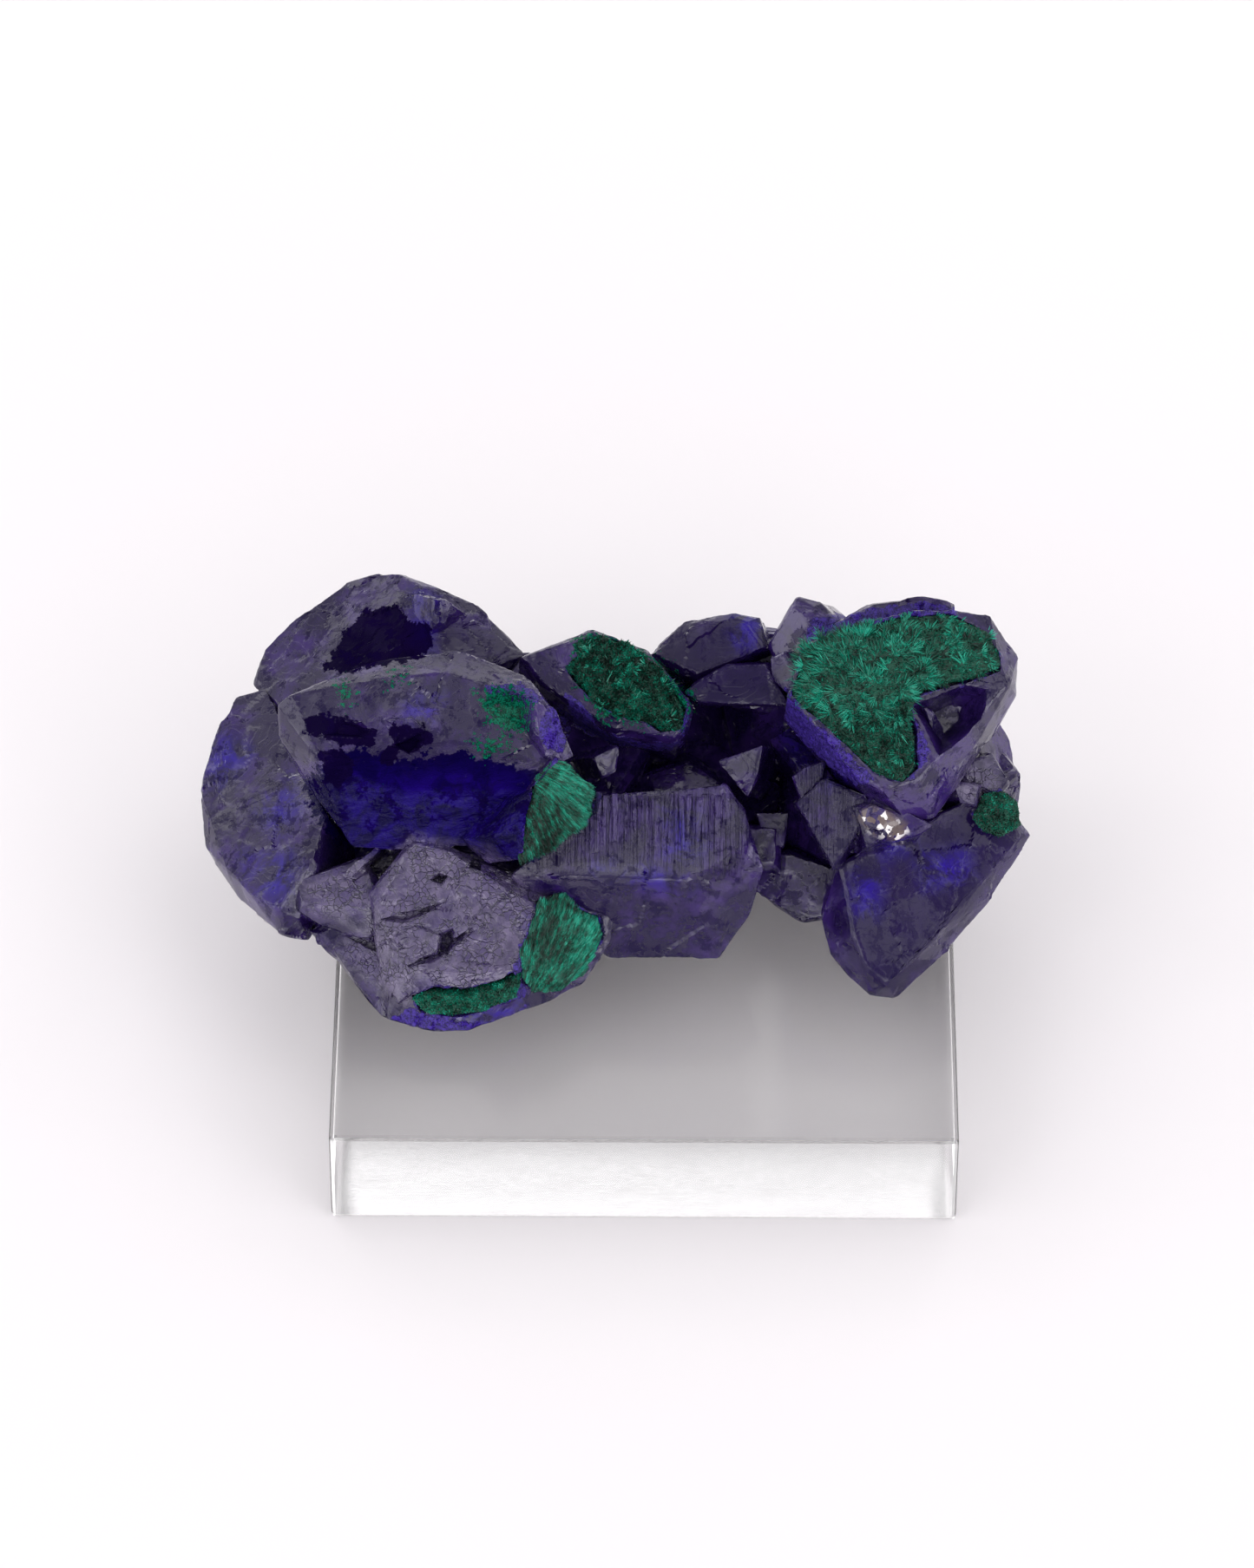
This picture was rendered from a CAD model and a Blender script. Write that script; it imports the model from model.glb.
"""Looks of the azurite and malachite specimen on its clear acrylic block.

Lengths are in millimetres until a mesh is made. The crystals and the malachite are finer copies of the CAD
solids, and the photograph's camera places the markings on them.
"""

import math

import bpy
import numpy as np
from mathutils import Matrix, Vector
from mathutils.bvhtree import BVHTree


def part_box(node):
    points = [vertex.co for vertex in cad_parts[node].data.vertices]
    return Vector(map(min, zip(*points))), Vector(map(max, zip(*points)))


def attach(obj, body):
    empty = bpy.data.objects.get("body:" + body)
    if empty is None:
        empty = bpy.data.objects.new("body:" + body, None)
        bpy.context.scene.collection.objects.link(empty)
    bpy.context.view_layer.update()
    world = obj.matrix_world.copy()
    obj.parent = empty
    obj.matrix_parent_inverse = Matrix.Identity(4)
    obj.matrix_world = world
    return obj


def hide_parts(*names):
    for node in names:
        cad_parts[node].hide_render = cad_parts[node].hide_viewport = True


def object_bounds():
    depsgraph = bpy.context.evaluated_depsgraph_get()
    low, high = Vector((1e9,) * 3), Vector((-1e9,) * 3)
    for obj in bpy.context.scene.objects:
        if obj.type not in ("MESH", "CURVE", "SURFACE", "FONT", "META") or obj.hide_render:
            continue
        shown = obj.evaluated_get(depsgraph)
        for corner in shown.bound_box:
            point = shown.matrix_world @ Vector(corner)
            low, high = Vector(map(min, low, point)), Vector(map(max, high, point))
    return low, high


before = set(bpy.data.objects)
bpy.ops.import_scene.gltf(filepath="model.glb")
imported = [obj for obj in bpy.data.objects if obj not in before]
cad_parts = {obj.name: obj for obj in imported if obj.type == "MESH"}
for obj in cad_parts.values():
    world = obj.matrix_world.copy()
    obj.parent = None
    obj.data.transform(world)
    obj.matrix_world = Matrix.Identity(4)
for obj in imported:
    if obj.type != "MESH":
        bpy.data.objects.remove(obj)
cad_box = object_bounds()

MM = 0.001

# The photograph's size and its camera: focal length in pixels, place in millimetres, angles in degrees
PHOTO_WIDTH = 1445
PHOTO_HEIGHT = 1807
FOCAL = 9633.0
CAMERA_AT = np.array([1.0, -482.6, 504.9])
CAMERA_DOWN = 44.86
CAMERA_YAW = -0.30
CAMERA_ROLL = 0.07
PIXELS_PER_MM = 13.8

# Longest mesh edge on the side that faces the camera, and elsewhere
FINE = 0.43
COARSE = 0.95


def camera_axes():
    down, yaw, roll = (math.radians(angle) for angle in (CAMERA_DOWN, CAMERA_YAW, CAMERA_ROLL))
    ahead = np.array([math.sin(yaw) * math.cos(down), math.cos(yaw) * math.cos(down), -math.sin(down)])
    level = np.array([math.cos(yaw), -math.sin(yaw), 0.0])
    rise = np.cross(level, ahead)
    right = math.cos(roll) * level + math.sin(roll) * rise
    up = -math.sin(roll) * level + math.cos(roll) * rise
    return right, up, ahead


RIGHT, UP, AHEAD = camera_axes()


def pixels(points):
    """Where points fall in the photograph."""
    from_camera = points - CAMERA_AT
    depth = from_camera @ AHEAD
    across = PHOTO_WIDTH / 2 + FOCAL * (from_camera @ RIGHT) / depth
    down = PHOTO_HEIGHT / 2 - FOCAL * (from_camera @ UP) / depth
    return np.stack([across, down], axis=-1)


# Noise

# Large odd numbers that mix a cell's place and a seed into a random number
MIX_CELL = (73856093, 19349663, 83492791)
MIX_SEED = 2654435761
MIX_ROUNDS = ((13, 1274126177), (15, 1103515245))
MIX_STEPS = 65521


def lattice(cell, seed):
    """A steady random number between 0 and 1 for each whole-numbered cell."""
    mixed = seed * MIX_SEED + 97
    for axis, factor in enumerate(MIX_CELL):
        mixed = mixed ^ cell[..., axis] * factor
    for shift, factor in MIX_ROUNDS:
        mixed = (mixed ^ (mixed >> shift)) * factor & 0x7FFFFFFF
    return (mixed ^ (mixed >> 11)) % MIX_STEPS / MIX_STEPS


def swell(points, pitch, seed=0):
    """Smooth noise between -1 and 1 with humps about a pitch across."""
    place = points / pitch
    cell = np.floor(place).astype(np.int64)
    share = place - cell
    share = share * share * (3 - 2 * share)
    total = np.zeros(len(points))
    for corner in np.ndindex(2, 2, 2):
        weight = np.prod(np.where(np.array(corner) == 1, share, 1 - share), axis=1)
        total += weight * lattice(cell + np.array(corner), seed)
    return total * 2 - 1


def grains(points, pitch, seed=0):
    """Nearest and next nearest distance to scattered seeds, the nearest seed's number and the way to it."""
    place = points / pitch
    cell = np.floor(place).astype(np.int64)
    nearest = np.full(len(points), 9.0)
    second = np.full(len(points), 9.0)
    number = np.zeros(len(points))
    way = np.zeros((len(points), 3))
    for corner in np.ndindex(3, 3, 3):
        other = cell + np.array(corner) - 1
        jitter = np.stack([lattice(other, seed + axis) for axis in (1, 2, 3)], axis=-1)
        to_seed = other + jitter - place
        distance = np.linalg.norm(to_seed, axis=1)
        closer = distance < nearest
        second = np.where(closer, nearest, np.minimum(second, distance))
        number = np.where(closer, lattice(other, seed + 4), number)
        way = np.where(closer[:, None], to_seed, way)
        nearest = np.where(closer, distance, nearest)
    return nearest * pitch, second * pitch, number, way * pitch


def smooth(value, low, high):
    share = np.clip((value - low) / (high - low), 0, 1)
    return share * share * (3 - 2 * share)


# Meshes

def solid(node):
    """Welded points and triangles of a CAD node."""
    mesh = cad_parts[node].data
    mesh.calc_loop_triangles()
    points = np.zeros(len(mesh.vertices) * 3)
    mesh.vertices.foreach_get("co", points)
    points = points.reshape(-1, 3) / MM
    tris = np.zeros(len(mesh.loop_triangles) * 3, np.int64)
    mesh.loop_triangles.foreach_get("vertices", tris)
    _, first, welded = np.unique(points.round(4), axis=0, return_index=True, return_inverse=True)
    tris = welded.reshape(-1)[tris].reshape(-1, 3)
    proper = (tris[:, 0] != tris[:, 1]) & (tris[:, 1] != tris[:, 2]) & (tris[:, 2] != tris[:, 0])
    return points[first], tris[proper]


def face_normals(points, tris):
    a, b, c = (points[tris[:, corner]] for corner in range(3))
    normal = np.cross(b - a, c - a)
    size = np.linalg.norm(normal, axis=1, keepdims=True)
    return normal / np.maximum(size, 1e-12), size[:, 0] / 2


def vertex_normals(points, tris):
    normal, area = face_normals(points, tris)
    total = np.zeros_like(points)
    for corner in range(3):
        np.add.at(total, tris[:, corner], normal * area[:, None])
    return total / np.maximum(np.linalg.norm(total, axis=1, keepdims=True), 1e-12)


def split(tris, mids):
    """Splits each triangle at the middles of its marked edges, and says which triangle each part is from."""
    marked = mids >= 0
    count = marked.sum(axis=1)
    turn = np.zeros(len(tris), np.int64)
    turn[count == 1] = marked[count == 1].argmax(axis=1)
    turn[count == 2] = ((~marked[count == 2]).argmax(axis=1) + 1) % 3
    order = (np.arange(3)[None] + turn[:, None]) % 3
    (a, b, c), (ab, bc, ca) = np.take_along_axis(tris, order, 1).T, np.take_along_axis(mids, order, 1).T
    parts = [(count == 0, (a, b, c)),
             (count == 1, (a, ab, c)), (count == 1, (ab, b, c)),
             (count == 2, (ab, b, bc)), (count == 2, (a, ab, bc)), (count == 2, (a, bc, c)),
             (count == 3, (a, ab, ca)), (count == 3, (ab, b, bc)), (count == 3, (ca, bc, c)),
             (count == 3, (ab, bc, ca))]
    made = [np.stack([corner[which] for corner in corners], axis=1) for which, corners in parts]
    origin = [np.nonzero(which)[0] for which, _ in parts]
    return np.concatenate(made), np.concatenate(origin)


def refine(points, tris, longest):
    """Splits edges until each is at most as long as its triangles allow."""
    for _ in range(16):
        ends = np.sort(tris[:, [[0, 1], [1, 2], [2, 0]]], axis=2).reshape(-1, 2)
        pair = ends[:, 0] * len(points) + ends[:, 1]
        _, first, edge = np.unique(pair, return_index=True, return_inverse=True)
        edge = edge.reshape(-1)
        allowed = np.full(len(first), 1e9)
        np.minimum.at(allowed, edge, np.repeat(longest, 3))
        start, end = points[ends[first, 0]], points[ends[first, 1]]
        long = np.linalg.norm(end - start, axis=1) > allowed
        if not long.any():
            break
        number = np.full(len(first), -1)
        number[long] = len(points) + np.arange(long.sum())
        points = np.vstack([points, (start[long] + end[long]) / 2])
        tris, origin = split(tris, number[edge].reshape(-1, 3))
        longest = longest[origin]
    return points, tris


def neighbours(points, tris):
    ends = np.unique(np.sort(tris[:, [[0, 1], [1, 2], [2, 0]]], axis=2).reshape(-1, 2), axis=0)
    return np.vstack([ends, ends[:, ::-1]])


def average(value, links, count):
    """The mean of each point's neighbours."""
    flat = value.reshape(len(value), -1)
    total = np.stack([np.bincount(links[:, 0], flat[links[:, 1], k], count) for k in range(flat.shape[1])], 1)
    degree = np.maximum(np.bincount(links[:, 0], minlength=count), 1)
    return (total / degree[:, None]).reshape(value.shape)


def mesh_object(name, points, tris, finish, shades, smooth_faces=True, sharp=None):
    """A piece of the specimen from points in millimetres, with a number per point for each shade."""
    mesh = bpy.data.meshes.new(name)
    mesh.vertices.add(len(points))
    mesh.vertices.foreach_set("co", (points * MM).astype(np.float32).ravel())
    mesh.loops.add(len(tris) * 3)
    mesh.loops.foreach_set("vertex_index", tris.astype(np.int32).ravel())
    mesh.polygons.add(len(tris))
    mesh.polygons.foreach_set("loop_start", np.arange(0, len(tris) * 3, 3, dtype=np.int32))
    mesh.polygons.foreach_set("use_smooth", np.full(len(tris), smooth_faces))
    mesh.update(calc_edges=True)
    if sharp:
        mesh.set_sharp_from_angle(angle=math.radians(sharp))
    for shade, value in shades.items():
        layer = mesh.attributes.new(shade, "FLOAT", "POINT")
        layer.data.foreach_set("value", value.astype(np.float32))
    mesh.materials.append(finish)
    made = bpy.data.objects.new(name, mesh)
    bpy.context.scene.collection.objects.link(made)
    return made


def inside_distance(where, outline):
    """How far inside an outline each place is, in the outline's unit; outside it is negative."""
    outline = np.array(outline, float)
    nearest = np.full(len(where), 1e9)
    within = np.zeros(len(where), bool)
    for start, end in zip(outline, np.roll(outline, -1, axis=0)):
        along = end - start
        share = np.clip(((where - start) @ along) / (along @ along), 0, 1)
        nearest = np.minimum(nearest, np.linalg.norm(where - start - share[:, None] * along, axis=1))
        crosses = (start[1] > where[:, 1]) != (end[1] > where[:, 1])
        reach = start[0] + (where[:, 1] - start[1]) * along[0] / (along[1] if along[1] else 1e-9)
        within ^= crosses & (where[:, 0] < reach)
    return np.where(within, nearest, -nearest)


# How nearly a facet and its points' mean direction agree where an edge between facets begins
EDGE_COSINE = 0.94


class Surface:
    """A refined solid, with what the markings need to know about each point."""

    def __init__(self, node):
        points, tris = solid(node)
        normal, _ = face_normals(points, tris)
        facing = normal @ -AHEAD
        longest = np.where(facing > -0.05, FINE, COARSE)
        self.points, self.tris = refine(points, tris, longest)
        self.links = neighbours(self.points, self.tris)
        self.normals = vertex_normals(self.points, self.tris)
        self.pixels = pixels(self.points)
        self.facing = self.normals @ -AHEAD
        self.count = len(self.points)

    def find_seen(self, tree):
        """Marks the points that nothing hides from the camera."""
        back = Vector(-AHEAD)
        seen = np.zeros(self.count)
        for index in np.nonzero(self.facing > -0.1)[0]:
            start = Vector(self.points[index] + self.normals[index] * 0.06 - AHEAD * 0.06)
            seen[index] = tree.ray_cast(start, back)[0] is None
        self.seen = seen

    def patch(self, outline, soft):
        """1 inside an outline drawn on the photograph, 0 outside, with a soft edge, in millimetres."""
        depth = inside_distance(self.pixels, outline) / PIXELS_PER_MM
        return np.clip(0.5 + depth / (2 * soft), 0, 1) * self.seen

    def creases(self):
        """1 on the edges between facets, and 1 where such an edge stands out rather than in."""
        normal, _ = face_normals(self.points, self.tris)
        low = np.full(self.count, 9.0)
        for corner in self.tris.T:
            np.minimum.at(low, corner, np.einsum("ij,ij->i", normal, self.normals[corner]))
        edge = smooth(-low, -EDGE_COSINE - 0.04, -EDGE_COSINE + 0.06)
        hollow = average(self.points, self.links, self.count) - self.points
        return edge, edge * smooth(-np.einsum("ij,ij->i", hollow, self.normals), 0.0, 0.03)


# Materials

class Nodes:
    """Short names for building a material's nodes, in millimetres."""

    def __init__(self, name):
        self.material = bpy.data.materials.new(name)
        self.material.use_nodes = True
        self.tree = self.material.node_tree
        self.shader = self.tree.nodes["Principled BSDF"]
        place = self.tree.nodes.new("ShaderNodeTexCoord").outputs["Object"]
        self.place = self.vector("MULTIPLY", place, (1000, 1000, 1000))

    def put(self, target, value):
        if isinstance(value, bpy.types.NodeSocket):
            self.tree.links.new(value, target)
        else:
            target.default_value = value

    def vector(self, operation, first, second):
        node = self.tree.nodes.new("ShaderNodeVectorMath")
        node.operation = operation
        self.put(node.inputs[0], first)
        self.put(node.inputs[1], second)
        return node.outputs[0]

    def maths(self, operation, first, second=0.0, third=0.0, clamp=False):
        node = self.tree.nodes.new("ShaderNodeMath")
        node.operation = operation
        node.use_clamp = clamp
        for target, value in zip(node.inputs, (first, second, third)):
            self.put(target, value)
        return node.outputs[0]

    def shade(self, name):
        node = self.tree.nodes.new("ShaderNodeAttribute")
        node.attribute_name = name
        return node.outputs["Fac"]

    def turned(self, tilt, turn, stretch):
        """The place in the axes of a face, divided by a pitch for each axis."""
        node = self.tree.nodes.new("ShaderNodeMapping")
        node.vector_type = "TEXTURE"
        node.inputs["Rotation"].default_value = (math.radians(tilt), 0, math.radians(turn))
        node.inputs["Scale"].default_value = stretch
        self.put(node.inputs["Vector"], self.place)
        return node.outputs[0]

    def noise(self, pitch, detail=2.0, rough=0.5, place=None, warp=0.0):
        node = self.tree.nodes.new("ShaderNodeTexNoise")
        self.put(node.inputs["Vector"], place or self.place)
        node.inputs["Scale"].default_value = 1 / pitch
        node.inputs["Detail"].default_value = detail
        node.inputs["Roughness"].default_value = rough
        node.inputs["Distortion"].default_value = warp
        return node.outputs["Fac"]

    def shifted(self, pitch, amount, place=None):
        """The place moved about by noise, to make what follows it wander."""
        node = self.tree.nodes.new("ShaderNodeTexNoise")
        self.put(node.inputs["Vector"], place or self.place)
        node.inputs["Scale"].default_value = 1 / pitch
        node.inputs["Detail"].default_value = 2.0
        move = self.vector("SUBTRACT", node.outputs["Color"], (0.5, 0.5, 0.5))
        move = self.vector("MULTIPLY", move, (amount, amount, amount))
        return self.vector("ADD", place or self.place, move)

    def cells(self, pitch, place, feature="F1", output="Color"):
        node = self.tree.nodes.new("ShaderNodeTexVoronoi")
        node.feature = feature
        self.put(node.inputs["Vector"], place)
        node.inputs["Scale"].default_value = 1 / pitch
        return node.outputs[output]

    def between(self, value, low, high, first=0.0, last=1.0):
        """Goes smoothly from first to last as the value goes from low to high."""
        node = self.tree.nodes.new("ShaderNodeMapRange")
        node.interpolation_type = "SMOOTHSTEP"
        for name, number in (("Value", value), ("From Min", low), ("From Max", high), ("To Min", first),
                             ("To Max", last)):
            self.put(node.inputs[name], number)
        return node.outputs["Result"]

    def mix(self, share, first, second):
        node = self.tree.nodes.new("ShaderNodeMix")
        node.data_type = "RGBA"
        for target, value in ((node.inputs[0], share), (node.inputs[6], first), (node.inputs[7], second)):
            if isinstance(value, tuple):
                value = (*value, 1.0)
            self.put(target, value)
        return node.outputs[2]

    def total(self, *values):
        result = values[0]
        for value in values[1:]:
            result = self.maths("ADD", result, value)
        return result

    def relief(self, height):
        """Bumps of a height in millimetres."""
        node = self.tree.nodes.new("ShaderNodeBump")
        node.inputs["Strength"].default_value = 1.0
        node.inputs["Distance"].default_value = MM
        self.put(node.inputs["Height"], height)
        self.put(self.shader.inputs["Normal"], node.outputs["Normal"])

    def finish(self, colour, roughness, **numbers):
        if isinstance(colour, tuple):
            colour = (*colour, 1.0)
        self.put(self.shader.inputs["Base Color"], colour)
        self.put(self.shader.inputs["Roughness"], roughness)
        for name, number in numbers.items():
            self.shader.inputs[name.replace("_", " ")].default_value = number
        return self.material


# Colours of the azurite
DEEP_BLUE = (0.009, 0.004, 0.036)
VIOLET = (0.036, 0.014, 0.130)
ULTRAMARINE = (0.016, 0.003, 0.23)
GLASSY_BLUE = (0.002, 0.0006, 0.030)
DUSKY_BLUE = (0.003, 0.001, 0.016)
MEALY_DARK = (0.010, 0.004, 0.060)
MEALY_BLUE = (0.050, 0.026, 0.26)
ETCHED_FILM = (0.051, 0.037, 0.098)
ETCHED_VIOLET = (0.040, 0.024, 0.105)
ETCHED_PLATE = (0.098, 0.076, 0.158)
WORN = (0.085, 0.066, 0.150)
GRIME = (0.005, 0.002, 0.028)
CRACK = (0.002, 0.001, 0.016)
GROOVE = (0.003, 0.001, 0.018)
FLAKE_BROWN = (0.10, 0.070, 0.070)
FLAKE_SILVER = (0.75, 0.72, 0.72)
CRUST_DARK = (0.002, 0.030, 0.018)
CRUST_GREEN = (0.004, 0.125, 0.075)

# Colours of the malachite, the block, the backdrop and the light
BASE_DARK = (0.001, 0.016, 0.010)
BASE_GREEN = (0.003, 0.12, 0.070)
BASE_PALE = (0.005, 0.16, 0.095)
FIBRE_DARK = (0.0006, 0.009, 0.006)
FIBRE_GREEN = (0.001, 0.16, 0.100)
FIBRE_BRIGHT = (0.004, 0.29, 0.19)
FIBRE_TIP = (0.05, 0.48, 0.35)
CLEAR = (0.997, 0.997, 0.995)
BACKDROP = (0.85, 0.825, 0.84)
BACKDROP_SOFT = (0.855, 0.83, 0.847)
DAYLIGHT = (1.0, 0.985, 1.0, 1.0)

# Optical values of the minerals and the acrylic
AZURITE_IOR = 1.68
MALACHITE_IOR = 1.7
MALACHITE_SPECULAR = 0.22
ACRYLIC_IOR = 1.49
BACKDROP_IOR = 1.3

# Heights of the azurite's fine relief, in millimetres
FACE_GRAIN = 0.0016
CRUST_GRAIN = 0.12
TERRACE_STEP = 0.004
CHIP_STEP = 0.012
GRIME_DEPTH = 0.012
PIT_DEPTH = 0.06
PLATE_STEP = 0.05
PLATE_GRAIN = 0.07
CRACK_DEPTH = 0.05
STREAK_HEIGHT = 0.24
RIPPLE_HEIGHT = 0.45


def azurite_material():
    n = Nodes("azurite_crystal")
    etched, striated, scaly = n.shade("etched"), n.shade("striated"), n.shade("scaly")
    blue, mealy, green, edge = n.shade("blue"), n.shade("mealy"), n.shade("green"), n.shade("edge")
    dusky, shaded, flaky = n.shade("dusky"), n.shade("shaded"), n.shade("flaky")

    ragged = n.noise(0.9, detail=4.0, rough=0.65)
    speckle = n.noise(0.45, detail=3.0, rough=0.7)
    fine = n.noise(0.14, detail=2.0, rough=0.6)
    cloudy = n.noise(4.5, detail=4.0, rough=0.6)

    def ragged_edge(shade, low, high, amount=0.7):
        spread = n.maths("MULTIPLY_ADD", n.maths("SUBTRACT", ragged, 0.5), amount * 2, shade)
        return n.maths("MULTIPLY", n.between(spread, low, high), n.between(shade, 0.0, 0.15))

    # Colour inside the crystals: veils and flecks of brighter blue
    veil = n.noise(2.6, detail=5.0, rough=0.7, place=n.shifted(3.0, 2.5), warp=0.4)
    blue_here = n.maths("MULTIPLY", n.between(blue, 0.0, 1.0), n.between(veil, 0.40, 0.62, 0.05, 1.0))
    blue_here = n.maths("MULTIPLY", blue_here, n.between(scaly, 0.0, 1.0, 1.0, 0.42))
    mist = n.maths("ADD", n.maths("MULTIPLY", cloudy, 0.5), n.maths("MULTIPLY", veil, 0.5))
    mealy_here = ragged_edge(mealy, 0.45, 0.62)
    scaly_here = ragged_edge(scaly, 0.36, 0.50, 0.9)
    green_here = n.between(n.maths("ADD", n.maths("MULTIPLY", green, 0.42), speckle), 0.74, 0.80)
    dusky_here = ragged_edge(dusky, 0.42, 0.50, 0.55)

    # Crackle of the etched face: wandering cracks at two scales
    wide = (2.3, n.shifted(1.3, 1.6))
    narrow = (0.55, n.shifted(0.8, 0.9))
    crack_big = n.between(n.cells(*wide, "DISTANCE_TO_EDGE", "Distance"), 0.0, 0.035, 1.0, 0.0)
    crack_small = n.between(n.cells(*narrow, "DISTANCE_TO_EDGE", "Distance"), 0.0, 0.09, 1.0, 0.0)
    plate_tone = n.maths("ADD", n.maths("MULTIPLY", n.cells(*narrow), 0.5),
                         n.maths("MULTIPLY", n.cells(*wide), 0.5))
    crack_small = n.maths("MULTIPLY", crack_small, n.between(n.noise(1.7), 0.38, 0.54))
    crack_big = n.maths("MULTIPLY", crack_big, n.between(n.noise(2.6), 0.40, 0.56))
    crackle = n.maths("MULTIPLY", n.maths("MAXIMUM", crack_big, crack_small), etched)

    # Streaks of the striated faces run up each face
    streak_place = n.shifted(9.0, 1.2, n.turned(42, 0, (0.20, 6.0, 1.6)))
    streak = n.noise(1.0, detail=4.0, rough=0.7, place=streak_place)

    # Growth lines: thin terraces that follow slow contours
    contour = n.maths("FRACT", n.maths("MULTIPLY", n.noise(7.0, detail=3.0, rough=0.45), 16.0))
    terrace = n.between(contour, 0.0, 0.12)

    # Curved ripples of the broken, scaly face
    ripple_place = n.turned(62, 12, (2.2, 0.7, 1.0))
    ripple = n.noise(1.0, detail=4.0, rough=0.62, place=n.shifted(2.0, 1.2, ripple_place), warp=0.9)

    haze = n.maths("MULTIPLY", n.between(mist, 0.44, 0.62), n.between(shaded, 0.0, 1.0, 0.7, 0.12))
    colour = n.mix(haze, DEEP_BLUE, VIOLET)
    colour = n.mix(n.maths("MULTIPLY", scaly_here, 0.95), colour, GLASSY_BLUE)
    colour = n.mix(blue_here, colour, ULTRAMARINE)
    colour = n.mix(n.maths("MULTIPLY", dusky_here, 0.9), colour, DUSKY_BLUE)
    film = n.mix(n.between(veil, 0.42, 0.60), ETCHED_FILM, ETCHED_VIOLET)
    film = n.mix(n.between(plate_tone, 0.30, 0.65, 0.0, 0.85), ETCHED_PLATE, film)
    colour = n.mix(n.maths("MULTIPLY", etched, n.between(ragged, 0.35, 0.6, 0.45, 1.0)), colour, film)
    crest = n.between(n.shade("crest"), 0.2, 0.7)
    worn = n.maths("MULTIPLY", crest, n.between(speckle, 0.44, 0.60, 0.0, 0.5))
    colour = n.mix(worn, colour, WORN)
    # Dark, ragged flecks where small faces lean away from the light
    fleck = n.noise(1.4, detail=5.0, rough=0.72, place=n.shifted(4.0, 2.0))
    less = n.between(n.maths("MAXIMUM", etched, shaded), 0.0, 1.0, 0.75, 0.25)
    grime = n.maths("MULTIPLY", n.between(fleck, 0.53, 0.60), less)
    colour = n.mix(n.maths("MULTIPLY", grime, 0.8), colour, GRIME)
    grainy = n.maths("ADD", n.maths("MULTIPLY", fine, 0.5), n.maths("MULTIPLY", speckle, 0.5))
    colour = n.mix(mealy_here, colour, n.mix(n.between(grainy, 0.40, 0.60), MEALY_DARK, MEALY_BLUE))
    colour = n.mix(green_here, colour, n.mix(n.between(grainy, 0.44, 0.58), CRUST_DARK, CRUST_GREEN))
    colour = n.mix(n.maths("MULTIPLY", crackle, 0.85), colour, CRACK)
    grooves = n.maths("MULTIPLY", striated, n.between(streak, 0.50, 0.60, 0.0, 0.75))
    colour = n.mix(grooves, colour, GROOVE)
    flake = n.cells(*narrow)
    flaky_here = n.maths("MULTIPLY", flaky, n.between(flake, 0.40, 0.48))
    colour = n.mix(flaky_here, colour, n.mix(n.between(flake, 0.72, 0.76), FLAKE_BROWN, FLAKE_SILVER))

    rough = n.between(ragged, 0.3, 0.75, 0.03, 0.10)
    rough = n.total(rough, n.maths("MULTIPLY", etched, 0.16), n.maths("MULTIPLY", mealy_here, 0.35),
                    n.maths("MULTIPLY", green_here, 0.3), n.maths("MULTIPLY", edge, 0.05))
    shine = n.total(0.37, n.maths("MULTIPLY", dusky_here, -0.36), n.maths("MULTIPLY", scaly_here, -0.31),
                    n.maths("MULTIPLY", mealy_here, -0.2), n.maths("MULTIPLY", etched, 0.15),
                    n.maths("MULTIPLY", worn, 0.4), n.maths("MULTIPLY", shaded, -0.20),
                    n.maths("MULTIPLY", green_here, -0.3), n.maths("MULTIPLY", grime, -0.26),
                    n.maths("MULTIPLY", grooves, -0.2))
    shine = n.maths("MAXIMUM", shine, 0.0)
    n.put(n.shader.inputs["Specular IOR Level"], shine)

    quiet = n.maths("SUBTRACT", 1.0, n.maths("ADD", etched, striated, clamp=True), clamp=True)
    plateaus = n.maths("ADD", n.maths("MULTIPLY", plate_tone, PLATE_STEP),
                       n.maths("MULTIPLY", speckle, PLATE_GRAIN))
    chip = (0.9, n.shifted(0.5, 0.7))
    chips = n.maths("MULTIPLY", n.cells(*chip), n.between(cloudy, 0.46, 0.60))
    pit = n.between(n.cells(*chip, output="Distance"), 0.05, 0.12, 1.0, 0.0)
    grain = n.maths("MULTIPLY_ADD", n.maths("ADD", mealy_here, green_here), CRUST_GRAIN, FACE_GRAIN)
    height = n.total(
        n.maths("MULTIPLY", fine, grain),
        n.maths("MULTIPLY", n.maths("MULTIPLY", terrace, TERRACE_STEP), quiet),
        n.maths("MULTIPLY", grime, -GRIME_DEPTH),
        n.maths("MULTIPLY", n.maths("MULTIPLY", chips, CHIP_STEP), quiet),
        n.maths("MULTIPLY", n.maths("MULTIPLY", pit, -PIT_DEPTH), n.between(veil, 0.50, 0.56)),
        n.maths("MULTIPLY", n.maths("ADD", plateaus, n.maths("MULTIPLY", crackle, -CRACK_DEPTH)), etched),
        n.maths("MULTIPLY", n.maths("MULTIPLY", streak, STREAK_HEIGHT), striated),
        n.maths("MULTIPLY", n.maths("MULTIPLY", ripple, RIPPLE_HEIGHT), scaly),
    )
    n.relief(height)
    return n.finish(colour, rough, IOR=AZURITE_IOR)


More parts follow.
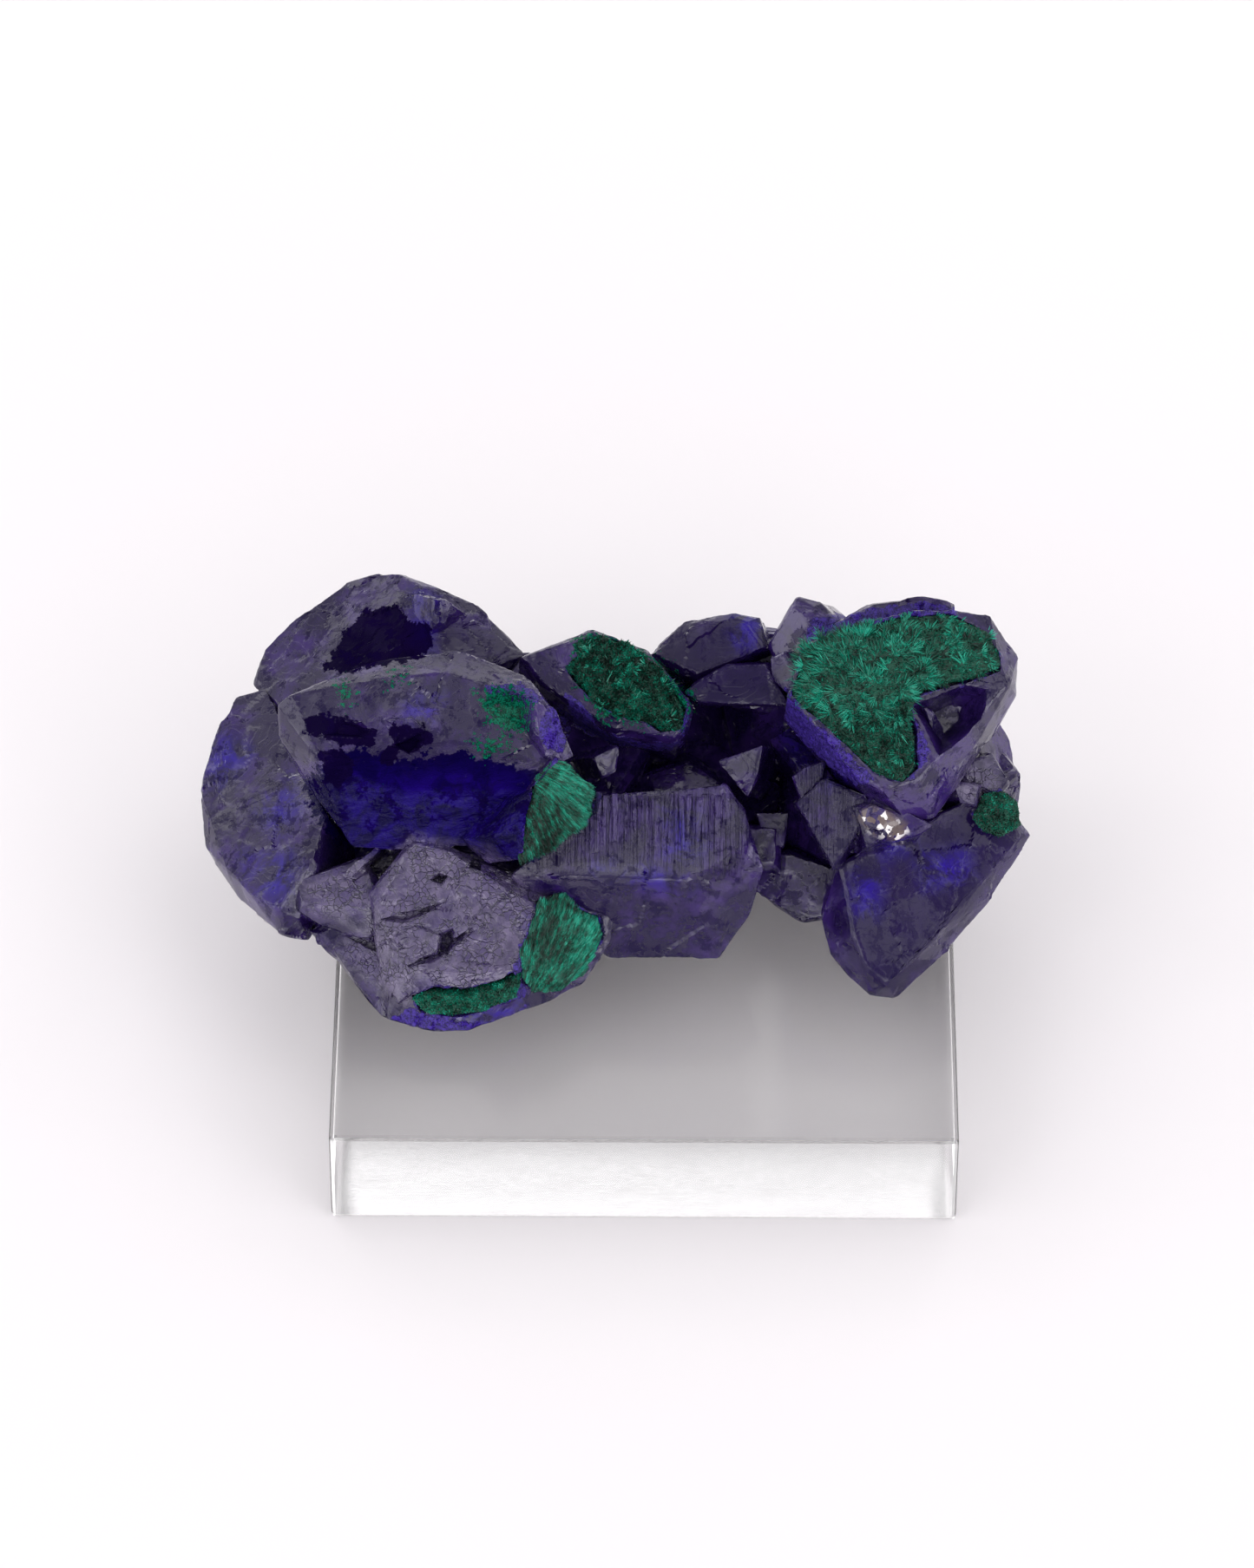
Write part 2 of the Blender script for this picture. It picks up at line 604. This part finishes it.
def malachite_base_material():
    n = Nodes("malachite_base")
    fine = n.noise(0.16, detail=3.0, rough=0.65)
    colour = n.mix(n.shade("tone"), BASE_DARK, BASE_GREEN)
    colour = n.mix(n.between(fine, 0.5, 0.75, 0.0, 0.7), colour, BASE_PALE)
    n.relief(n.maths("MULTIPLY", fine, CRUST_GRAIN))
    rough = n.between(fine, 0.3, 0.7, 0.35, 0.6)
    return n.finish(colour, rough, IOR=MALACHITE_IOR, Specular_IOR_Level=MALACHITE_SPECULAR)


def malachite_fibre_material():
    n = Nodes("malachite_fibre")
    tone, along = n.shade("tone"), n.shade("along")
    colour = n.mix(n.between(tone, 0.0, 0.8), FIBRE_DARK, FIBRE_GREEN)
    colour = n.mix(n.between(tone, 0.55, 1.0), colour, FIBRE_BRIGHT)
    bright_tip = n.maths("MULTIPLY", n.between(along, 0.3, 1.0), n.between(tone, 0.7, 1.0, 0.0, 0.5))
    colour = n.mix(bright_tip, colour, FIBRE_TIP)
    rough = n.between(tone, 0.0, 1.0, 0.40, 0.30)
    return n.finish(colour, rough, IOR=MALACHITE_IOR, Specular_IOR_Level=MALACHITE_SPECULAR)


def acrylic_material():
    n = Nodes("clear_acrylic")
    scuff = n.between(n.noise(2.2, detail=4.0, rough=0.75), 0.56, 0.72)
    saw = n.noise(1.0, detail=3.0, rough=0.7, place=n.turned(0, 0, (3.0, 0.12, 0.5)))
    n.relief(n.total(n.maths("MULTIPLY", saw, 0.004), n.maths("MULTIPLY", n.noise(9.0), 0.02)))
    return n.finish(CLEAR, n.maths("MULTIPLY", scuff, 0.10), IOR=ACRYLIC_IOR, Transmission_Weight=1.0)


def floor_material():
    n = Nodes("backdrop")
    soft = n.noise(60.0, detail=2.0)
    colour = n.mix(n.between(soft, 0.3, 0.7, 0.0, 0.5), BACKDROP, BACKDROP_SOFT)
    return n.finish(colour, 0.7, IOR=BACKDROP_IOR)


# Markings, as outlines on the photograph

ETCHED = [[(440, 1000), (475, 966), (560, 983), (600, 1015), (650, 1050), (630, 1078), (612, 1105),
           (600, 1135), (560, 1150), (520, 1148), (480, 1128), (470, 1160), (425, 1130), (388, 1095),
           (425, 1060)],
          [(345, 1010), (400, 1000), (430, 985), (425, 1040), (400, 1062), (355, 1050)],
          [(1105, 890), (1130, 872), (1150, 880), (1150, 915), (1120, 930), (1100, 910)]]
STRIATED = [[(600, 990), (690, 915), (850, 910), (862, 950), (850, 1010), (760, 1005), (690, 1000),
             (600, 1005)],
            [(915, 925), (955, 890), (1000, 918), (985, 975), (958, 1000)],
            [(912, 890), (935, 872), (955, 892), (930, 918)]]
SCALY = [[(350, 900), (400, 862), (470, 880), (520, 868), (600, 885), (655, 920), (650, 955), (605, 992),
          (540, 985), (480, 965), (425, 990), (385, 965), (358, 930)]]
BLUE = [[(385, 880), (470, 900), (540, 890), (610, 905), (640, 935), (600, 985), (540, 980), (470, 962),
         (425, 985), (395, 950)],
        [(772, 935), (800, 940), (806, 975), (790, 1000), (768, 985)],
        [(690, 1002), (750, 1000), (800, 1012), (790, 1022), (720, 1015)],
        [(480, 685), (497, 690), (497, 745), (478, 740)],
        [(470, 808), (505, 806), (500, 826), (472, 824)],
        [(985, 1003), (1010, 1010), (1008, 1050), (990, 1052)],
        [(1062, 990), (1110, 985), (1115, 1010), (1070, 1020)],
        [(1040, 960), (1048, 975), (1020, 985)],
        [(285, 990), (330, 985), (345, 1010), (318, 1036), (290, 1020)],
        [(242, 870), (262, 850), (285, 868), (262, 905), (245, 900)],
        [(300, 930), (330, 900), (345, 930), (320, 960)],
        [(495, 1150), (560, 1160), (600, 1150), (605, 1175), (560, 1190), (480, 1175)],
        [(600, 1060), (640, 1055), (650, 1070), (612, 1085)],
        [(850, 705), (880, 712), (870, 745), (845, 740)],
        [(905, 845), (945, 860), (990, 900), (960, 905), (915, 870)]]
MEALY = [[(925, 728), (935, 712), (985, 703), (1060, 693), (1105, 697), (1100, 722), (1040, 722), (960, 735),
          (930, 745)],
         [(905, 790), (930, 825), (962, 850), (990, 880), (1010, 900), (985, 905), (940, 870), (905, 830)],
         [(1050, 850), (1065, 843), (1072, 870), (1050, 900), (1042, 880)],
         [(475, 1148), (520, 1142), (570, 1145), (600, 1130), (605, 1150), (560, 1162), (480, 1162)],
         [(470, 1160), (520, 1176), (575, 1178), (607, 1160), (600, 1180), (555, 1191), (500, 1191),
          (450, 1176)],
         [(600, 1130), (612, 1085), (625, 1060), (618, 1050), (598, 1090), (590, 1125)],
         [(755, 772), (785, 780), (797, 800), (795, 830), (785, 850), (770, 800)],
         [(650, 795), (670, 810), (690, 838), (740, 856), (790, 856), (770, 866), (700, 858), (660, 835)],
         [(628, 815), (648, 813), (658, 838), (650, 868), (630, 862), (620, 840)],
         [(560, 790), (600, 785), (625, 805), (600, 815), (560, 812)]]
GREEN = [[(548, 795), (590, 788), (612, 806), (612, 838), (590, 852), (560, 835)],
         [(540, 852), (580, 848), (592, 868), (555, 876)],
         [(385, 785), (402, 782), (405, 812), (392, 815)],
         [(655, 725), (700, 728), (765, 762), (800, 800), (798, 822), (770, 840), (690, 830), (660, 780)],
         [(445, 775), (470, 770), (468, 785), (448, 790)],
         [(1135, 922), (1158, 920), (1168, 940), (1150, 958), (1132, 945)]]
DUSKY = [[(395, 730), (420, 705), (455, 700), (470, 715), (495, 720), (497, 745), (480, 760), (400, 775),
          (372, 770), (385, 752)],
         [(350, 833), (372, 824), (400, 830), (432, 842), (430, 858), (400, 858), (372, 848), (350, 845)],
         [(448, 838), (488, 836), (496, 852), (478, 868), (455, 862)],
         [(368, 868), (392, 862), (408, 880), (395, 905), (375, 900)],
         [(448, 858), (462, 862), (452, 885), (440, 880)]]
SHADED = [[(950, 1000), (1040, 970), (1130, 900), (1180, 960), (1120, 1050), (1015, 1150), (985, 1120)],
          [(415, 850), (480, 845), (560, 870), (600, 900), (470, 900), (400, 880)],
          [(495, 690), (560, 740), (590, 770), (520, 765), (480, 740)],
          [(745, 750), (850, 702), (885, 745), (912, 812), (800, 812)]]
FLAKY = [[(985, 938), (1003, 929), (1022, 934), (1046, 950), (1030, 968), (1008, 962)],
         [(1030, 952), (1048, 955), (1036, 972), (1022, 966)]]


def marked(surface, outlines, soft):
    value = np.zeros(surface.count)
    for outline in outlines:
        value = np.maximum(value, surface.patch(outline, soft))
    return value


MALACHITE = ["malachite_upper_right", "malachite_rear", "malachite_middle", "malachite_lower_left",
             "malachite_band", "malachite_far_right"]


def tree_of(nodes):
    places, faces = [], []
    for node in nodes:
        points, tris = solid(node)
        faces += [tuple(corner + len(places) for corner in tri) for tri in tris.tolist()]
        places += points.tolist()
    return BVHTree.FromPolygons(places, faces)


def near(surface, nodes, reach):
    """1 against other solids, falling to 0 at the reach."""
    tree = tree_of(nodes)
    close = np.zeros(surface.count, bool)
    for node in nodes:
        low, high = (np.array(corner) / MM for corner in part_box(node))
        close |= np.all((surface.points > low - reach) & (surface.points < high + reach), axis=1)
    value = np.zeros(surface.count)
    for index in np.nonzero(close)[0]:
        distance = tree.find_nearest(Vector(surface.points[index]), reach)[3]
        if distance is not None:
            value[index] = 1 - distance / reach
    return value


def tilted_cells(points, pitch, seed):
    """Relief of slightly tilted plates, each plate's number, and how near a point is to a crack."""
    moved = points + 0.5 * swell(points, pitch * 0.7, seed)[:, None]
    nearest, second, number, way = grains(moved, pitch, seed)
    lean = (number[:, None] * np.array([37.0, 91.0, 53.0]) % 1.0) * 2 - 1
    return np.einsum("ij,ij->i", way, lean), number, 1 - smooth(second - nearest, 0.0, 0.13 * pitch)


# Facets that meet at more than this angle, in degrees, keep a sharp edge
SHARP_ANGLE = 22
# How far the crystals' edges waver, in millimetres, and how much of their sharpness is worn off
EDGE_DRIFT = 0.11
EDGE_WEAR = 0.25
# How far around the malachite the azurite is mealy, in millimetres
MEALY_REACH = 0.95


def azurite():
    """The crystals, with their relief and markings."""
    surface = Surface("azurite_crystals")
    surface.find_seen(tree_of(["azurite_crystals"] + MALACHITE))
    points = surface.points
    edge, crest = surface.creases()
    shades = {
        "etched": marked(surface, ETCHED, 0.8),
        "striated": marked(surface, STRIATED, 0.5),
        "scaly": marked(surface, SCALY, 1.2),
        "blue": marked(surface, BLUE, 1.6),
        "mealy": np.maximum(marked(surface, MEALY, 0.5), near(surface, MALACHITE, MEALY_REACH)),
        "green": marked(surface, GREEN, 1.2),
        "dusky": marked(surface, DUSKY, 0.9),
        "shaded": marked(surface, SHADED, 1.5),
        "flaky": marked(surface, FLAKY, 0.3),
        "edge": edge,
        "crest": average(crest, surface.links, surface.count),
    }
    # Edges waver sideways a little, and every face is made of faintly tilted plates
    drift = [swell(points, 0.9, seed) + 0.6 * swell(points, 0.4, seed + 5) for seed in (31, 32, 33)]
    drift = np.stack(drift, axis=1)
    drift -= surface.normals * np.einsum("ij,ij->i", drift, surface.normals)[:, None]
    lean_big, _, _ = tilted_cells(points, 4.2, 40)
    lean_small, step, _ = tilted_cells(points, 1.6, 50)
    rugged = smooth(swell(points, 5.0, 8) + 0.4 * swell(points, 1.7, 9), 0.0, 0.5)
    calm = 1 - np.maximum(shades["striated"], shades["scaly"])
    lift = calm * (0.040 * lean_big + rugged * (0.035 * lean_small + 0.035 * (step - 0.5)))
    lean, number, crack = tilted_cells(points, 2.0, 10)
    lift += shades["etched"] * (0.03 * lean - 0.07 * crack + 0.10 * (number - 0.5))
    flow = points @ np.array([[0.35, 0.3, 0.0], [0.0, 0.9, 0.0], [0.3, 0.0, 0.9]])
    lift += shades["scaly"] * (0.22 * swell(flow, 1.6, 20) + 0.12 * swell(flow, 0.7, 21))
    meal = 0.14 * swell(points, 0.55, 5) + 0.10 * swell(points, 0.35, 6)
    lift += np.maximum(shades["mealy"] - 0.3, 0) * meal
    lift -= shades["edge"] * (0.02 + 0.10 * np.maximum(swell(points, 1.1, 7), 0))
    points = points + surface.normals * lift[:, None] + drift * EDGE_DRIFT
    # The crests between facets are worn a little round
    wear = shades["edge"][:, None]
    points = points + (average(points, surface.links, surface.count) - points) * wear * EDGE_WEAR
    low, high = (np.array(corner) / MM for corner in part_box("azurite_crystals"))
    points = np.clip(points, low, high)
    piece = mesh_object("azurite_crystals_detailed", points, surface.tris, azurite_material(), shades,
                        sharp=SHARP_ANGLE)
    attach(piece, "root")
    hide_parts("azurite_crystals")


# A spine's cross-section: its corners' angles, and its radii as shares of its width
SPINE_CORNERS = (0, 2.094, 4.189)
FOOT_RADIUS = 0.5
WAIST_RADIUS = 0.42
WAIST_ALONG = 0.55
SPINE_FACES = [(0, 1, 4), (0, 4, 3), (1, 2, 5), (1, 5, 4), (2, 0, 3), (2, 3, 5), (3, 4, 6), (4, 5, 6),
               (5, 3, 6)]


class Fibres:
    """Collects thin three-sided spines into one mesh."""

    def __init__(self, seed):
        self.random = np.random.default_rng(seed)
        self.points, self.tris, self.tone, self.along = [], [], [], []
        self.count = 0

    def add(self, roots, directions, lengths, widths, tones):
        """Each spine has a three-cornered foot, a three-cornered middle and a tip."""
        side = np.cross(directions, self.random.normal(size=directions.shape))
        side /= np.maximum(np.linalg.norm(side, axis=1, keepdims=True), 1e-9)
        other = np.cross(directions, side)
        feet, waist = [], []
        middle = roots + directions * lengths[:, None] * WAIST_ALONG
        tip = roots + directions * lengths[:, None]
        for angle in SPINE_CORNERS:
            ring = side * math.cos(angle) + other * math.sin(angle)
            feet.append(roots + ring * widths[:, None] * FOOT_RADIUS)
            waist.append(middle + ring * widths[:, None] * WAIST_RADIUS)
        spines = np.stack(feet + waist + [tip], axis=1)
        number, each = spines.shape[:2]
        first = self.count + np.arange(number)[:, None] * each
        self.tris.append((first[:, :, None] + np.array(SPINE_FACES)[None]).reshape(-1, 3))
        self.points.append(spines.reshape(-1, 3))
        self.tone.append(np.repeat(tones, each))
        self.along.append(np.tile([0] * 3 + [WAIST_ALONG] * 3 + [1], number))
        self.count += number * each

    def piece(self, name, finish, node):
        points = np.concatenate(self.points)
        low, high = (np.array(corner) / MM for corner in cad_box)
        points = np.clip(points, low + 0.02, high - 0.02)
        shades = {"tone": np.concatenate(self.tone), "along": np.concatenate(self.along)}
        made = mesh_object(name, points, np.concatenate(self.tris), finish, shades, smooth_faces=False)
        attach(made, "root")
        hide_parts(node)


def scattered(points, tris, number, random, allowed):
    """Random places on the triangles that are allowed, with their normals."""
    normal, area = face_normals(points, tris)
    chance = area * allowed
    chosen = random.choice(len(tris), number, p=chance / chance.sum())
    a, b = np.sort(random.random((2, number)), axis=0)
    corners = points[tris[chosen]]
    place = corners[:, 0] * a[:, None] + corners[:, 1] * (b - a)[:, None] + corners[:, 2] * (1 - b)[:, None]
    return place, normal[chosen]


def unit(vectors):
    return vectors / np.maximum(np.linalg.norm(vectors, axis=-1, keepdims=True), 1e-9)


# Lengths on a patch, in millimetres: its mesh edges, how far its rim creeps out, and how deep its fibres root
PATCH_EDGE = 0.36
RIM_CREEP = 0.45
ROOT_DEPTH = 0.12
# How steeply velvet stands up
VELVET_LIFT = 1.6


class Patch:
    """A lumpy patch of malachite, and the fibres that grow on it."""

    def __init__(self, node, seed, base, swelling, tone):
        points, tris = solid(node)
        normal, area = face_normals(points, tris)
        outward = (normal * area[:, None] * (normal @ -AHEAD > 0.2)[:, None]).sum(axis=0)
        self.node, self.seed = node, seed
        self.outward = unit(outward)
        self.middle = points.mean(axis=0)
        points, tris = refine(points, tris, np.full(len(tris), PATCH_EDGE))
        normals = vertex_normals(points, tris)
        from_middle = points - self.middle
        flat = unit(from_middle - np.outer(from_middle @ self.outward, self.outward))
        rim = smooth(1 - normals @ self.outward, 0.15, 0.8)
        top = smooth(normals @ self.outward, 0.2, 0.7)
        ragged = 1 + 0.9 * swell(points, 1.3, seed + 7) + 0.5 * swell(points, 0.6, seed + 8)
        points = points + flat * (rim * RIM_CREEP * ragged)[:, None]
        lump = 0.6 * swell(points, 1.1, seed) + 0.4 * swell(points, 0.5, seed + 1)
        points = points + self.outward * (top * (swelling * lump - 0.10))[:, None]
        low, high = (np.array(corner) / MM for corner in cad_box)
        self.points, self.tris = np.clip(points, low, high), tris
        shades = {"tone": np.clip(tone[0] + tone[1] * lump, 0, 1)}
        piece = mesh_object(node + "_base", self.points, tris, base, shades)
        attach(piece, "root")
        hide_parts(node)
        self.fibres = Fibres(seed)
        self.random = self.fibres.random

    def roots(self, number, within=None):
        """Random places on the face, more of them inside an outline drawn on the photograph."""
        normal, _ = face_normals(self.points, self.tris)
        allowed = smooth(normal @ self.outward, 0.0, 0.4)
        if within:
            centres = pixels(self.points[self.tris].mean(axis=1))
            allowed = allowed * (smooth(inside_distance(centres, within), -14, 8) + 0.02)
        return scattered(self.points, self.tris, number, self.random, allowed)[0]

    def place(self, pixel):
        across, down = pixel[0] - PHOTO_WIDTH / 2, pixel[1] - PHOTO_HEIGHT / 2
        ray = AHEAD + RIGHT * across / FOCAL - UP * down / FOCAL
        return CAMERA_AT + ray * ((self.middle - CAMERA_AT) @ self.outward) / (ray @ self.outward)

    def away(self, roots, pixel):
        """Directions along the face that lead away from a pixel of the photograph."""
        direction = roots - self.place(pixel)
        return unit(direction - np.outer(direction @ self.outward, self.outward))

    def grow(self, roots, direction, lengths, widths, tones, lift):
        direction = unit(direction + self.outward * lift[:, None])
        self.fibres.add(roots - direction * ROOT_DEPTH, direction, lengths, widths, np.clip(tones, 0, 1))

    def silk(self, number, pixel, length, width, tone, bands, lift, jitter, pale):
        """Fine fibres side by side, all leading away from a pixel, in bands of their own tones."""
        roots = self.roots(number)
        direction = self.away(roots, pixel)
        across = np.cross(self.outward, direction)
        angle = np.arctan2(*(direction @ np.stack([unit(across[0]), unit(direction[0])], axis=1)).T)
        band = swell(np.stack([angle * 70, roots @ direction[0] * 0.4, angle * 0], 1), 1.3, self.seed + 3)
        fleck = 0.3 * swell(roots, 1.1, self.seed + 4) + 0.6 * swell(roots, 0.4, self.seed + 9)
        tones = tone + bands * (0.3 * band + 0.7 * fleck) + 0.20 * self.random.normal(size=number)
        tones = tones + pale[2] * smooth(pixels(roots) @ np.array(pale[:2]), pale[3], pale[4])
        direction = direction + across * (self.random.normal(size=number) * jitter)[:, None]
        lengths = length * (0.4 + 0.8 * self.random.random(number))
        widths = width * (0.6 + 0.8 * self.random.random(number))
        self.grow(roots, direction, lengths, widths, tones, lift * (0.2 + 1.4 * self.random.random(number)))

    def sprays(self, number, each, pixel, length, width, spread, tone, lift, turning, within=None):
        """Fans of fibres, each from one root, leading roughly away from a pixel."""
        starts = self.roots(number, within)
        heading = self.away(starts, pixel)
        across = np.cross(self.outward, heading)
        turn = self.random.normal(size=number) * turning
        heading, across = (heading * np.cos(turn)[:, None] + across * np.sin(turn)[:, None],
                           across * np.cos(turn)[:, None] - heading * np.sin(turn)[:, None])
        size = length * (0.6 + 0.8 * self.random.random(number))
        tones = tone[0] + tone[1] * self.random.normal(size=number)
        total = number * each
        fan = self.random.normal(size=total) * spread
        sideways = np.tan(np.clip(fan, -1, 1))
        direction = np.repeat(heading, each, 0) + np.repeat(across, each, 0) * sideways[:, None]
        start = np.repeat(starts, each, 0) + np.repeat(across, each, 0) * (fan * 0.25)[:, None]
        step = self.random.random(total) * np.repeat(size, each) * 0.45
        start = start + unit(direction) * step[:, None] + self.outward * (step * 0.10)[:, None]
        lengths = np.repeat(size, each) * (0.35 + 0.35 * self.random.random(total))
        widths = width * (0.6 + 0.8 * self.random.random(total))
        tones = np.repeat(tones, each) + 0.20 * self.random.normal(size=total)
        self.grow(start, direction, lengths, widths, tones, lift * (0.1 + self.random.random(total)))

    def fuzz(self, number, length, width, tone, within=None):
        """Short fibres that stand up in all directions, as a fine velvet."""
        roots = self.roots(number, within)
        direction = self.random.normal(size=(number, 3))
        direction = unit(direction - np.outer(direction @ self.outward, self.outward))
        clump = swell(roots, 0.8, self.seed + 5) * 0.6 + swell(roots, 0.35, self.seed + 6) * 0.5
        tones = tone[0] + tone[1] * clump + 0.22 * self.random.normal(size=number)
        lengths = length * (0.4 + 0.9 * self.random.random(number))
        widths = width * (0.6 + 0.8 * self.random.random(number))
        self.grow(roots, direction, lengths, widths, tones, VELVET_LIFT * (0.3 + self.random.random(number)))


UPPER_RIGHT_VELVET = [(930, 820), (1000, 825), (1045, 815), (1075, 830), (1060, 870), (1030, 912),
                      (1005, 905), (960, 860)]
UPPER_RIGHT_DARK = [(1060, 720), (1110, 715), (1165, 755), (1160, 790), (1120, 795), (1085, 770)]
UPPER_RIGHT_BRIGHT = [(915, 745), (960, 728), (1040, 720), (1065, 745), (1060, 800), (1030, 835), (960, 820),
                      (918, 800)]


def malachite_pieces():
    base = malachite_base_material()
    fibre = malachite_fibre_material()
    patches = []

    upper = Patch("malachite_upper_right", 31, base, swelling=0.25, tone=(0.25, 0.4))
    upper.fuzz(5600, 0.42, 0.075, (0.26, 0.6))
    upper.fuzz(4200, 0.34, 0.075, (0.16, 0.5), within=UPPER_RIGHT_VELVET)
    upper.sprays(110, 30, (1010, 785), 0.7, 0.058, 0.55, (0.38, 0.25), lift=0.30, turning=1.4)
    upper.sprays(210, 34, (1012, 790), 1.15, 0.058, 0.50, (0.58, 0.25), within=UPPER_RIGHT_BRIGHT, lift=0.12,
                 turning=0.5)
    upper.sprays(45, 32, (1080, 775), 0.9, 0.058, 0.5, (0.50, 0.30), within=UPPER_RIGHT_DARK, lift=0.20,
                 turning=1.3)
    patches.append(upper)

    rear = Patch("malachite_rear", 41, base, swelling=0.35, tone=(0.2, 0.5))
    rear.fuzz(6500, 0.42, 0.09, (0.26, 0.75))
    rear.sprays(40, 14, (730, 795), 0.8, 0.09, 0.5, (0.55, 0.22), lift=0.6, turning=3.0)
    patches.append(rear)

    middle = Patch("malachite_middle", 51, base, swelling=0.18, tone=(0.62, 0.4))
    middle.silk(14500, (575, 862), 0.5, 0.047, 0.22, 0.9, lift=0.07, jitter=0.09,
                pale=(1.0, -1.0, 0.45, -330, -230))
    patches.append(middle)

    lower = Patch("malachite_lower_left", 61, base, swelling=0.18, tone=(0.62, 0.4))
    lower.silk(15500, (585, 1215), 0.5, 0.047, 0.34, 0.9, lift=0.07, jitter=0.09,
               pale=(1.0, 0.0, 0.4, 635, 690))
    patches.append(lower)

    band = Patch("malachite_band", 71, base, swelling=0.2, tone=(0.35, 0.5))
    band.fuzz(4200, 0.3, 0.08, (0.42, 0.6))
    patches.append(band)

    far = Patch("malachite_far_right", 81, base, swelling=0.2, tone=(0.3, 0.5))
    far.fuzz(1600, 0.32, 0.08, (0.35, 0.7))
    patches.append(far)

    for patch in patches:
        patch.fibres.piece(patch.node + "_fibres", fibre, patch.node)


def block():
    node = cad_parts["acrylic_block"]
    finish = acrylic_material()
    for slot in node.material_slots:
        slot.material = finish


def stage():
    """A plain pale floor, and soft light all round that is weaker low in front."""
    mesh = bpy.data.meshes.new("floor")
    size, depth = 3.0, -0.05 * MM
    mesh.from_pydata([(-size, -size, depth), (size, -size, depth), (size, size, depth), (-size, size, depth)],
                     [], [(0, 1, 2, 3)])
    mesh.materials.append(floor_material())
    floor = bpy.data.objects.new("floor", mesh)
    bpy.context.scene.collection.objects.link(floor)

    world = bpy.data.worlds.new("tent")
    bpy.context.scene.world = world
    world.use_nodes = True
    tree = world.node_tree
    light = tree.nodes["Background"]
    direction = tree.nodes.new("ShaderNodeTexCoord").outputs["Generated"]
    parts = tree.nodes.new("ShaderNodeSeparateXYZ")
    tree.links.new(direction, parts.inputs[0])

    def ramp(value, low, high, first, last):
        node = tree.nodes.new("ShaderNodeMapRange")
        node.interpolation_type = "SMOOTHSTEP"
        tree.links.new(value, node.inputs["Value"])
        for name, number in (("From Min", low), ("From Max", high), ("To Min", first), ("To Max", last)):
            node.inputs[name].default_value = number
        return node.outputs["Result"]

    def times(first, second):
        node = tree.nodes.new("ShaderNodeMath")
        node.operation = "MULTIPLY"
        tree.links.new(first, node.inputs[0])
        tree.links.new(second, node.inputs[1])
        return node.outputs[0]

    towards = tree.nodes.new("ShaderNodeVectorMath")
    towards.operation = "DOT_PRODUCT"
    tree.links.new(direction, towards.inputs[0])
    towards.inputs[1].default_value = -AHEAD
    uneven = tree.nodes.new("ShaderNodeTexNoise")
    tree.links.new(direction, uneven.inputs["Vector"])
    uneven.inputs["Scale"].default_value = 2.8
    uneven.inputs["Detail"].default_value = 2.0
    in_front = ramp(parts.outputs["Y"], -0.70, -0.20, 1.45, 1.0)
    beside_camera = ramp(towards.outputs["Value"], 0.88, 0.97, 1.0, 0.6)
    height = ramp(parts.outputs["Z"], 0.15, 0.95, 1.80, 1.05)
    blotches = ramp(uneven.outputs["Fac"], 0.38, 0.62, 0.45, 1.45)
    tree.links.new(times(times(times(in_front, beside_camera), height), blotches), light.inputs["Strength"])
    light.inputs["Color"].default_value = DAYLIGHT


def camera():
    data = bpy.data.cameras.new("camera")
    data.sensor_width = 36.0
    data.lens = FOCAL / PHOTO_HEIGHT * 36.0
    data.clip_start = 0.01
    data.clip_end = 20.0
    made = bpy.data.objects.new("camera", data)
    bpy.context.scene.collection.objects.link(made)
    axes = Matrix((RIGHT.tolist(), UP.tolist(), (-AHEAD).tolist())).transposed().to_4x4()
    axes.translation = Vector(CAMERA_AT) * MM
    made.matrix_world = axes
    bpy.context.scene.camera = made
    bpy.context.scene.view_settings.view_transform = "Standard"


camera()
stage()
azurite()
malachite_pieces()
block()

bpy.context.view_layer.update()
